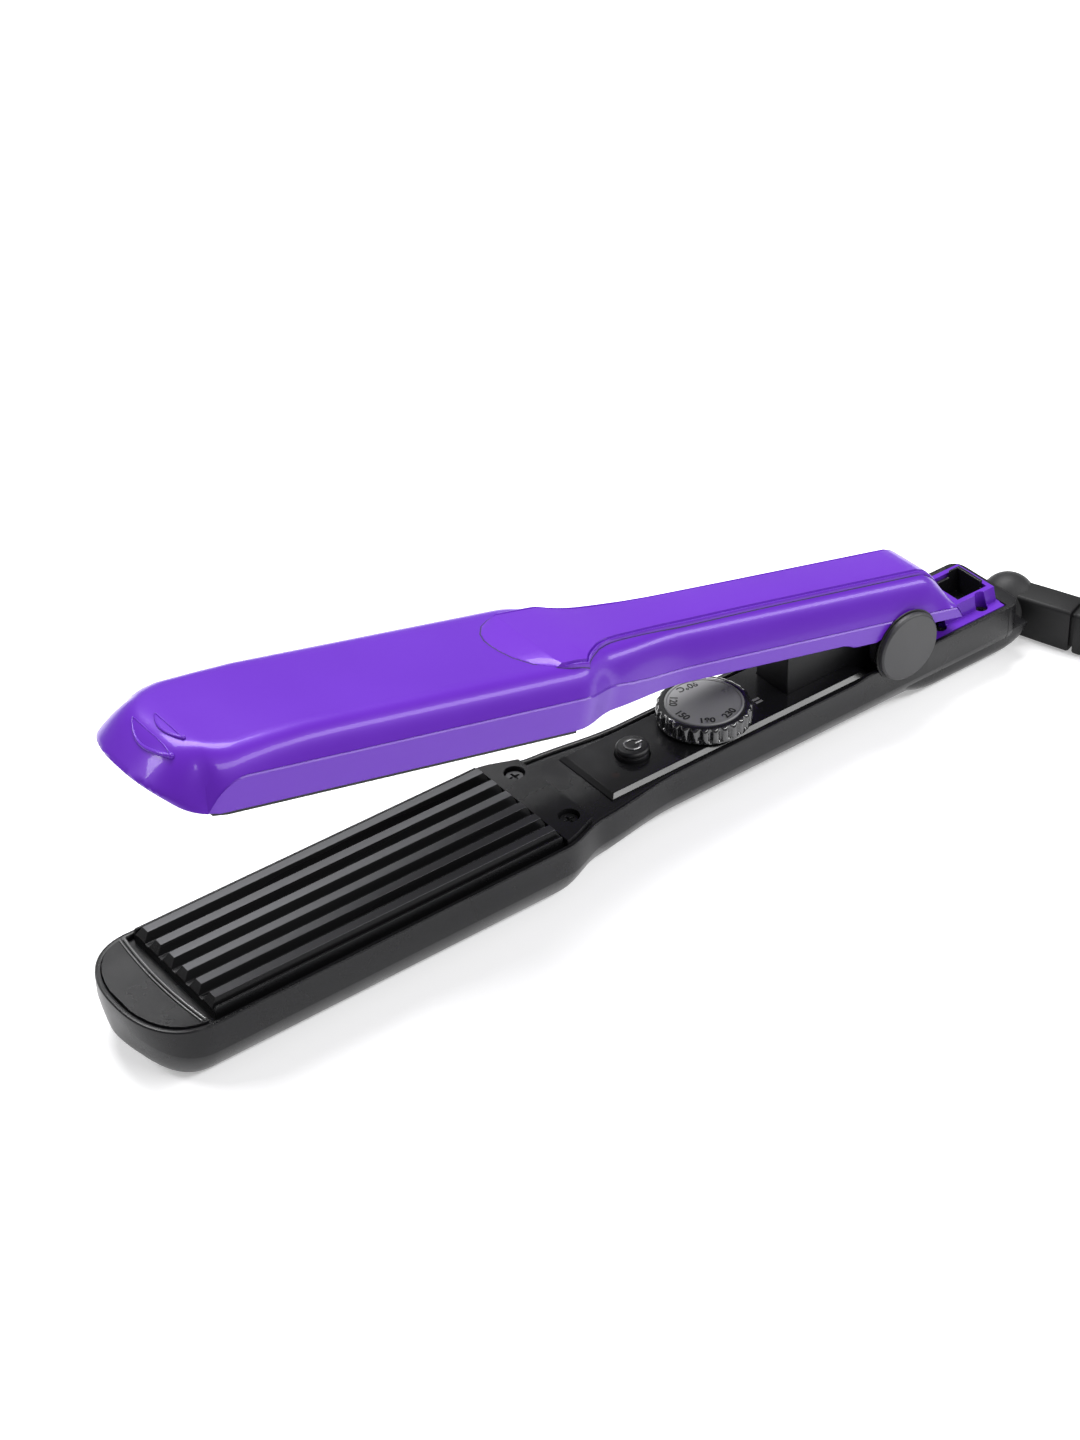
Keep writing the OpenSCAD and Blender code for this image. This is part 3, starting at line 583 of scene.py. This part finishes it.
def up_top(x, y):
    """Height of the upper arm's skin over a point of its outline."""
    u = into_nose(x)
    _, base, crown, _ = up_heights(x)
    w = body_width(x)
    inside = w - abs(y)
    if u > 0:
        q = ((abs(y) / w) ** NOSE_POWER + u ** NOSE_POWER) ** (1 / NOSE_POWER)
        inside = math.hypot(y, x - TIP_X - NOSE_L) * (1 / q - 1)
    reach = SHOULDER + 4 * (1 - float(smooth_step(-141, -127, x)))
    t = min(1.0, max(0.0, inside / reach))
    rise = 0.96 * (1 - (1 - t) ** SHOULDER_POWER) + 0.04 * (1 - (y / w) ** 2)
    return base + (crown - base) * rise


def tuck(x, z, rim, u):
    """X of a point of the skin, with the tip's lower edge drawn in under its top."""
    return x + TUCK * u ** 3 * max(0.0, 1 - (z - rim) / TUCK_H) ** 2


def up_ring(x):
    """Closed section of the upper shell: outer skin over the top and the inner skin back."""
    u = into_nose(x)
    rim, base, crown, k = up_heights(x)
    w = max(0.4, body_width(x) * rounding(u))
    groove = 0.4 * k * float(smooth_step(0.2, 1.2, base - rim))
    outer = [(w - 0.9, rim + 0.02), (w - 0.3, rim), (w, rim + min(0.3, 0.4 * (base - rim))),
             (w, rim + 0.6 * (base - rim)), (w, base - 0.1 - groove), (w - groove, base - 0.3 * groove)]
    n = 20
    for i in range(n + 1):
        y = w * (1 - (i / n) ** 1.7)
        if i == 0:
            y = w - 0.2 * groove - 0.01
        outer.append((y, up_top(x, y)))
    half = [(tuck(x, z, rim, u), y, z) for y, z in outer if y > 0]
    skin = [(p, -y, z) for p, y, z in half] + [(tuck(x, outer[-1][1], rim, u), 0, outer[-1][1])]
    skin += [(p, y, z) for p, y, z in reversed(half)]
    back_x = TIP_X + NOSE_L - u * (NOSE_L - WALL) if u > 0 else x
    v = max(0.2, (body_width(x) - WALL) * rounding(u))
    back_x += TUCK * u ** 3
    inner = [(v, rim)]
    for part in (1.0, 0.93, 0.82, 0.66, 0.4, 0.0):
        inner.append((v * part, max(rim + 0.02, min(up_top(x, v * part) - WALL, crown - WALL))))
    lining = [(back_x, y, z) for y, z in inner] + [(back_x, -y, z) for y, z in reversed(inner[:-1])]
    return [opened(p) for p in skin + lining]


shell = rings_mesh("upper_skin", [up_ring(x) for x in stations(
    [18, 24, 32, 40, 50, 60, 64, 66, 68, 70, 74, 76, 77, 78, 79, 82, 85, 88, 90, 91.5, 93, 94.5, 96, 97.5, 99,
     100.5, 102, 103.5, 105, 106.5, 107.6, 108])], VIOLET, sharp_deg=22)
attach(shell, "upper_arm")
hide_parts("upper_shell")


def add_cheeks():
    """Round lugs on the pin, inside the handle's walls, with a black lip along the paddle's rim."""
    whole = None
    for side in (-1, 1):
        lug = rod("cheeks", (HINGE_X, side * 10.4, HINGE_Z), "y", 9.2, 1.0, BLACK)
        y0, y1 = sorted((side * 9.4, side * 11.4))
        post = box_mesh("post", (81, y0, HINGE_Z), (94, y1, 30.5), BLACK)
        for v in post.data.vertices:
            v.co = Vector(opened([c / MM for c in v.co])) * MM
        rings = []
        for x in [-136 + 4 * i for i in range(27)]:
            w, rim = body_width(x) * rounding(into_nose(x)), up_heights(x)[0]
            rings.append([opened((x, side * (w - a), rim + b))
                          for a, b in ((1.6, 0.4), (0.25, 0.4), (0.12, -0.5), (1.6, -0.5))])
        lip = rings_mesh("lip", rings, BLACK)
        for piece in (lug, post, lip):
            if whole is None:
                whole = piece
            else:
                combine(whole, piece)
    return whole


cheeks = add_cheeks()
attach(cheeks, "upper_arm")

SHIELD_NEAR = 16.2
SHIELD_FAR = 12.3
SPINE_HW = 7.3
SPINE_END = 105.0
EDGE_AT = (0.0, 0.12, 0.3, 0.5, 0.7, 0.9, 1.05, 1.35)
EDGE_UP = (-0.1, 0.45, 0.68, 0.75, 0.62, 0.3, 0.34, 0.8)


def spine_width(x):
    return float(np.interp(x, (-27.5, -26.2, -24.2, -20.5, -17.7, -15.3, -12.5, -6, 1, 35, SPINE_END),
                           (16.2, 14.7, 13.2, 10.9, 9.8, 9.2, 8.8, 8.3, 7.9, 7.4, SPINE_HW)))


def spine_rows(grow, flat):
    """Rows across the raised panel: along its round front, up its ramp, and back along the handle."""
    rows = []
    near = [(-1, e) for e in EDGE_AT] + [(-p, None) for p in (0.72, 0.45, 0.2)]
    far = [(p, None) for p in (0.2, 0.45, 0.72)] + [(1, e) for e in reversed(EDGE_AT)]

    def row(place, near_w, far_w, raised):
        ring = []
        for v, e in near + [(0, None)] + far:
            width = near_w if v < 0 else far_w
            y = v * width if e is None else v * max(0.0, width - e)
            x = place(y)
            edge = 1.0 if e is None else float(np.interp(e, EDGE_AT, EDGE_UP)) / 0.8
            up = 0.03 if flat else raised * edge
            ring.append((x, y, up_top(x, y) + up))
        low = [(ring[-1][0], ring[-1][1], ring[-1][2] - 0.8), (ring[0][0], ring[0][1], ring[0][2] - 0.8)]
        rows.append([opened(p) for p in ring + low])

    near_w, far_w = SHIELD_NEAR + grow, SHIELD_FAR + grow

    def cusp(y):
        return -29.7 - 0.15 * y

    def front(y):
        across = min(1.0, -y / near_w if y < 0 else y / far_w)
        power = 2.5 if y < 0 else 2.0
        return cusp(y) - (16.3 - 0.08 * y + grow) * (1 - across ** power) ** (1 / power)

    def inner(y):
        return max(-36.3, front(y) + 0.12 * (cusp(y) - front(y)))

    for t in (0.0, 0.03, 0.1, 0.4, 0.7, 0.93, 1.0):
        raised = 0.1 + 0.95 * t if t > 0.02 else -0.1
        row(lambda y: front(y) + t * (inner(y) - front(y)), near_w, far_w, raised)
    for t in (0.06, 0.3, 0.6, 1.0):
        row(lambda y: inner(y) + t * (cusp(y) - inner(y)), near_w, far_w, 1.05)
    for x in (-27.1, -26.8, -26.2, -25.2, -24.2, -23, -22, -20.5, -19, -17.7, -16.5, -15.3, -14, -12.5, -10,
              -6, -2, 2, 10, 25, 40, 60, 75, 86, 90, 93, 96, 98, 100, 102, 103.5, SPINE_END):
        raised = 0.8 + 0.25 * (1 - float(smooth_step(-26, -8, x)))
        width = spine_width(x) + grow
        row(lambda y: x, width, min(width, far_w), raised * (1 - float(smooth_step(96, SPINE_END, x))) + 0.02)
    return rows


spine = rings_mesh("spine_skin", spine_rows(0.0, False), SPINE, sharp_deg=24)
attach(spine, "upper_arm")
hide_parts("spine_panel")
# painted shade: a flat dark copy of the spine's outline, 0.22 mm wider, lying on the shell so its edge reads
# as the seam's shadow
seam_shade = rings_mesh("spine_seam_shade", spine_rows(0.22, True), SEAM_SHADE)
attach(seam_shade, "upper_arm")


def crescent(x0, y_near, y_far, bulge, fat):
    """Raised thumb grip: a bead round the front, a thin straight one behind and a ball at the near end."""
    front, back = [], []
    for i in range(25):
        t = i / 24
        y = y_near + (y_far - y_near) * t
        x = x0 - bulge * math.sin(math.pi * t) ** 0.8
        front.append(opened((x, y, up_top(x, y) + 0.12)))
        back.append(opened((x0 + 0.15, y, up_top(x0, y) + 0.02)))
    sizes = [fat * (1 - 0.8 * (i / 24) ** 1.2) for i in range(25)]
    piece = rings_mesh("grip", tapered(front, sizes, 12), VIOLET, sharp_deg=60)
    combine(piece, rings_mesh("grip_back", tapered(back, [0.2] * 25, 8), VIOLET, sharp_deg=60))
    ball = lathe("grip_ball", [(fat * 1.25 * math.sin(a), -fat * 1.25 * math.cos(a))
                               for a in np.linspace(0, math.pi, 13)], VIOLET, front[0], 20, 60)
    combine(piece, ball)
    return piece


grips = crescent(-141.9, -10.6, 6, 2.5, 0.62)
combine(grips, crescent(-137.8, -8.6, 3.4, 2.1, 0.52))
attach(grips, "upper_arm")

# ---------------------------------------------------------------- lower arm

LOW_SIDE = 9.3
LOW_HANDLE = 3.0
NOTCH_R = 9.7
REAR_X = 131.0
REAR_ROUND = 3.5


def low_rim(x):
    rim = 17.4 + 0.6 * (1 - float(smooth_step(-30, -16, x))) + 0.8 * float(smooth_step(70, 76, x))
    reach = NOTCH_R ** 2 - (x - HINGE_X) ** 2
    if reach > 0:
        rim = min(rim, HINGE_Z - math.sqrt(reach))
    return rim


def low_outer(x):
    """Half section of the lower arm's outside, from its rim down to its middle."""
    u = into_nose(x)
    w = body_width(x) * rounding(u)
    if x > REAR_X - REAR_ROUND:
        w -= REAR_ROUND - math.sqrt(max(0.0, REAR_ROUND ** 2 - (x - REAR_X + REAR_ROUND) ** 2))
    w = max(0.5, w)
    side = LOW_SIDE + 4.5 * u ** 3
    bottom = LOW_HANDLE * float(smooth_step(-34, 0, x)) + 8.5 * u ** 2.6
    bevel = min(7 - 2 * float(smooth_step(-30, 0, x)), 0.55 * w)
    points = [(w, side + 0.4), (w - 0.06, side + 0.1)]
    for i in range(1, 11):
        t = i / 10
        points.append((w - 1.15 * bevel * t, side - (side - bottom) * (1 - (1 - t) ** 2.2)))
    return w, points + [(0.4 * (w - bevel), bottom)]


def low_ring(x):
    """Closed section of the lower shell, an open channel with a rounded rim."""
    w, outer = low_outer(x)
    rim = low_rim(x)
    u = into_nose(x)
    bead = []
    for inset, drop in RIM_BEAD:
        along = x + inset * u
        bead.append((along, max(0.1, (body_width(x) - inset) * rounding(u) if u else w - inset), rim + drop))
    inner_x, v = bead[0][0], bead[0][1]
    floor_z = outer[-1][1] + WALL
    half = [(inner_x, 0.5 * v, floor_z), (inner_x, 0.85 * v, floor_z + 1.2), (inner_x, v, floor_z + 5)]
    half += bead + [(x, y, z) for y, z in outer]
    return [(p, -y, z) for p, y, z in half] + [(p, y, z) for p, y, z in reversed(half)]


def end_ring(x):
    w, outer = low_outer(x)
    half = [(max(0.1, w - inset), low_rim(x) + drop) for inset, drop in RIM_BEAD[3:]] + outer
    return [(x, -y, z) for y, z in half] + [(x, y, z) for y, z in reversed(half)]


notch = [HINGE_X + d for d in (-9.69, -9.5, -9.2, -8.8, -8.31, -8, -7, -6, -4.5, -3, -1.5, 0,
                               1.5, 3, 4.5, 6, 7, 8, 8.31, 8.8, 9.2, 9.5, 9.69)]
low_shell = rings_mesh("lower_skin", [low_ring(x) for x in stations(
    [18, 24, 32, 40, 50, 60, 68, 70, 71, 72, 73, 74, 75, 76, 77] + notch + [99, 105, 112, 120, 126, 129.3])],
    DECK, sharp_deg=26, caps="strip")
combine(low_shell, rings_mesh("lower_end", [end_ring(x) for x in
                                            (126.5, 127.5, 128.3, 129, 129.7, 130.2, 130.6, 130.85, 131)],
                              DECK, sharp_deg=26))


def belly():
    """Bulge under the back of the handle that houses the swivel."""
    rings = []
    for x, bottom in ((85, 8.4), (86.5, 6.9), (89, 4.7), (92, 2.7), (95, 1.3), (98, 0.35), (101, 0.02),
                      (108, 0), (118, 0), (125, 0), (128, 0.15), (130.4, 0.8), (132.4, 2.1), (133.9, 4.2),
                      (134.8, 7)):
        ring = []
        for i in range(25):
            a = math.pi * i / 24
            ring.append((x, -12.5 * math.copysign(abs(math.cos(a)) ** 0.62, math.cos(a)),
                         9.2 - (9.2 - bottom) * math.sin(a) ** 0.62))
        rings.append(ring)
    return rings_mesh("belly", rings, DECK, sharp_deg=35)


bulge = belly()
cut(bulge, lathe("socket", [(8.3 * math.sin(a), -8.3 * math.cos(a)) for a in np.linspace(0, math.pi, 33)],
                 DECK, SWIVEL, 64))
combine(low_shell, bulge)
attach(low_shell, "lower_arm")
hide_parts("lower_shell")

softened("lower_tray", DECK, 0.35, 2)
LIP_R = 139.4
LIP_X = 2.2
LIP_HW = 18.4
LIP_Z = 18.66
lips = None
# thin beads along the plates' front lips, their light grey partly a painted highlight
for inset, fat in ((0.0, 0.38), (1.0, 0.22)):
    arc = []
    for i in range(49):
        y = -LIP_HW + 2 * LIP_HW * i / 48
        arc.append((LIP_X - math.sqrt((LIP_R + inset) ** 2 - y ** 2), y, LIP_Z))
    bead = rings_mesh("plate_lips", tapered(arc, [fat] * 49, 10), BEAD_HIGHLIGHT_AND_MARK, sharp_deg=60)
    if lips is None:
        lips = bead
    else:
        combine(lips, bead)
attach(lips, "lower_arm")
PLATE_OPEN_DEG = 14.4
# painted sheen: faces at the ridges' top height get the lighter grey material, the rest keeps the dark plate
# coating
SHEEN_RIDGE_TOPS = {"lower_plate": (0.0, 21.5), "upper_plate": (PLATE_OPEN_DEG, 19.7)}
for node, (turned, height) in SHEEN_RIDGE_TOPS.items():
    plate = softened(node, PLATE, 0.5, 3, angle_deg=20)
    plate.data.materials.append(RIDGE_SHEEN)
    for face in plate.data.polygons:
        z = opened([c / MM for c in face.center], -turned)[2]
        face.material_index = int(abs(z - height) < 0.35)
inner_tray = softened("upper_tray", DECK, 0.35, 2)
for v in inner_tray.data.vertices:
    p = opened([c / MM for c in v.co], -OPEN_DEG)
    u = into_nose(p[0])
    if u > 0:
        lift = 1.3 + NOSE_RIM_LIFT * u ** 0.8
        v.co = Vector(opened((p[0] + 2.5 * u, p[1] * (1 - 0.2 * u), p[2] + lift))) * MM
for node, mat, width, segments in (
        ("upper_liner", DECK, 0.3, 2), ("handle_panel", GLOSS, 0.3, 3), ("hinge_block", BLACK, 0.35, 3),
        ("hinge_caps", GREY, 0.35, 4), ("rear_cover", VIOLET, 0.35, 3), ("pocket_insert", DECK, 0.3, 3),
        ("deck_screws", SCREW, 0.12, 2), ("cover_screws", SCREW, 0.1, 2), ("power_button", BLACK, 0.35, 3),
        ("button_mark", BEAD_HIGHLIGHT_AND_MARK, 0.08, 1)):
    softened(node, mat, width, segments)
for node, mat in (
        ("led_lens", LENS_DARK), ("circuit_board", BOARD), ("tact_switch", PART), ("dial_pot", PART),
        ("lower_heater", HEATER), ("lower_carrier", RESIN), ("upper_heater", HEATER),
        ("upper_carrier", RESIN), ("hinge_pin", STEEL), ("return_spring", STEEL), ("swivel_collar", PART)):
    paint(node, mat)

# painted shade: dark rings just wider than the hinge caps, behind them, standing in for the shadow in the gap
# round each cap
for side in (-1, 1):
    shade = rod("cap_gap_shade", (HINGE_X, side * 13.55, HINGE_Z), "y", 10.45, 0.14, MARK_AND_GAP_SHADE)
    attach(shade, "lower_arm")

# ---------------------------------------------------------------- dial

DIAL = (29.0, 0.0)
FLUTES = 28
LETTER_R = 8.1
LETTER_Z = 23.31
LETTER_SIZE = 2.9


def dial_rings():
    """Grip ring with scalloped flutes between a plain foot and a plain top edge."""
    rings = []
    steps = FLUTES * 12
    profile = ((9.0, 18.5, 0), (12.3, 18.5, 0), (12.6, 18.8, 0), (12.7, 19.2, 0.2), (12.7, 19.6, 1),
               (12.7, 22.3, 1), (12.5, 22.7, 0.7), (12.0, 23.15, 0.2), (11.5, 23.35, 0), (10.9, 23.4, 0),
               (10.6, 23.3, 0), (10.5, 22.6, 0), (9.0, 22.6, 0))
    for r, z, depth in profile:
        ring = []
        for i in range(steps):
            a = 2 * math.pi * i / steps
            scoop = (0.5 - 0.5 * math.cos(FLUTES * a)) ** 1.5
            rr = r - 0.75 * depth * scoop
            ring.append((DIAL[0] + rr * math.cos(a), DIAL[1] + rr * math.sin(a), z))
        rings.append(ring)
    return rings


knob = rings_mesh("dial_grip", dial_rings(), SMOKE, sharp_deg=28)
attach(knob, "dial")
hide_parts("dial_knob")
PLATE_PROFILE = [(0.01, 22.0), (10.45, 22.0), (10.45, 23.35), (10.2, 23.55), (9.85, 23.5), (9.7, 23.3),
                 (9.3, 23.25), (6.0, 23.3), (3.0, 23.33), (0.01, 23.34)]
face = lathe("dial_plate", PLATE_PROFILE, SILVER, (*DIAL, 0), 128, 25)
DIMPLE_R = 7.5
DIMPLE_DEG = 3
dimple_at = (DIAL[0] + DIMPLE_R * math.cos(math.radians(DIMPLE_DEG)),
             DIAL[1] + DIMPLE_R * math.sin(math.radians(DIMPLE_DEG)), 0)
dimple = lathe("dimple", [(0.01, 22.95), (0.5, 23.02), (0.85, 23.2), (1.0, 23.6), (0.01, 23.6)], SILVER,
               dimple_at, 32)
cut(face, dimple)
finish_mesh(face, SILVER, 25)
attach(face, "dial")
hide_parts("dial_face")


def figure(text, deg, size):
    """Number on the dial's face, its top towards the middle."""
    curve = bpy.data.curves.new("figure", "FONT")
    curve.body = text
    curve.size = size * MM
    curve.align_x = "CENTER"
    curve.align_y = "CENTER"
    curve.extrude = 0.00003
    curve.offset = 0.00007
    holder = bpy.data.objects.new("figure", curve)
    bpy.context.scene.collection.objects.link(holder)
    mesh = bpy.data.meshes.new_from_object(holder.evaluated_get(bpy.context.evaluated_depsgraph_get()))
    bpy.data.objects.remove(holder)
    a = math.radians(deg)
    turn = Matrix.Rotation(a + math.pi / 2, 4, "Z")
    place = Vector(((DIAL[0] + LETTER_R * math.cos(a)) * MM, (DIAL[1] + LETTER_R * math.sin(a)) * MM,
                    LETTER_Z * MM))
    mesh.transform(Matrix.Translation(place) @ turn)
    obj = bpy.data.objects.new("figure", mesh)
    bpy.context.scene.collection.objects.link(obj)
    mesh.materials.clear()
    mesh.materials.append(MARK_AND_GAP_SHADE)
    return obj


figures = figure("80°C", 84, LETTER_SIZE)
for text, deg in (("120", 138), ("150", 186), ("180", 236), ("230", 284)):
    combine(figures, figure(text, deg, LETTER_SIZE))
figures.name = "dial_figures"
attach(figures, "dial")
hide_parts("dial_marks")

pointer = box_mesh("panel_mark", (43.9, -2.3, 17.8), (46.1, -1.6, 18.0), PALE)
combine(pointer, box_mesh("panel_mark_b", (43.9, -3.7, 17.8), (46.1, -3.0, 18.0), PALE))
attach(pointer, "lower_arm")

# ---------------------------------------------------------------- floor and light


def add_floor():
    floor = add_mesh("floor", [(-2500, -2500, 0), (2500, -2500, 0), (2500, 2500, 0), (-2500, 2500, 0)],
                     [(0, 1, 2, 3)], FLOOR)
    floor.location.z = -0.0002


def add_light(name, place, aim, width, height, watts, along=None):
    """Rectangular softbox facing a point, its width along a given direction."""
    data = bpy.data.lights.new(name, "AREA")
    data.shape = "RECTANGLE"
    data.size = width
    data.size_y = height
    data.energy = watts
    lamp = bpy.data.objects.new(name, data)
    lamp.location = place
    ahead = (Vector(aim) - Vector(place)).normalized()
    side = Vector(along) if along else ahead.cross(Vector((0, 0, 1)))
    side = (side - ahead * side.dot(ahead)).normalized()
    lamp.rotation_euler = Matrix((side, -ahead.cross(side), -ahead)).transposed().to_euler()
    bpy.context.scene.collection.objects.link(lamp)


add_floor()
add_light("key_softbox", (0.25, 0.55, 1.2), (0, 0, 0.05), 0.9, 0.6, 26)
add_light("shoulder_strip", (0.58, -0.68, 0.82), (0.0, 0, 0.05), 2.0, 0.2, 14, along=(1, 0, 0))
add_light("tip_window", (-0.80, 0.41, 0.86), (-0.147, 0, 0.07), 0.3, 0.25, 4.5)
world = bpy.data.worlds.new("studio")
world.use_nodes = True
world.node_tree.nodes["Background"].inputs["Color"].default_value = (1, 1, 1, 1)
world.node_tree.nodes["Background"].inputs["Strength"].default_value = 0.3
bpy.context.scene.world = world
bpy.context.scene.view_settings.view_transform = "Standard"
bpy.context.scene.view_settings.look = "None"
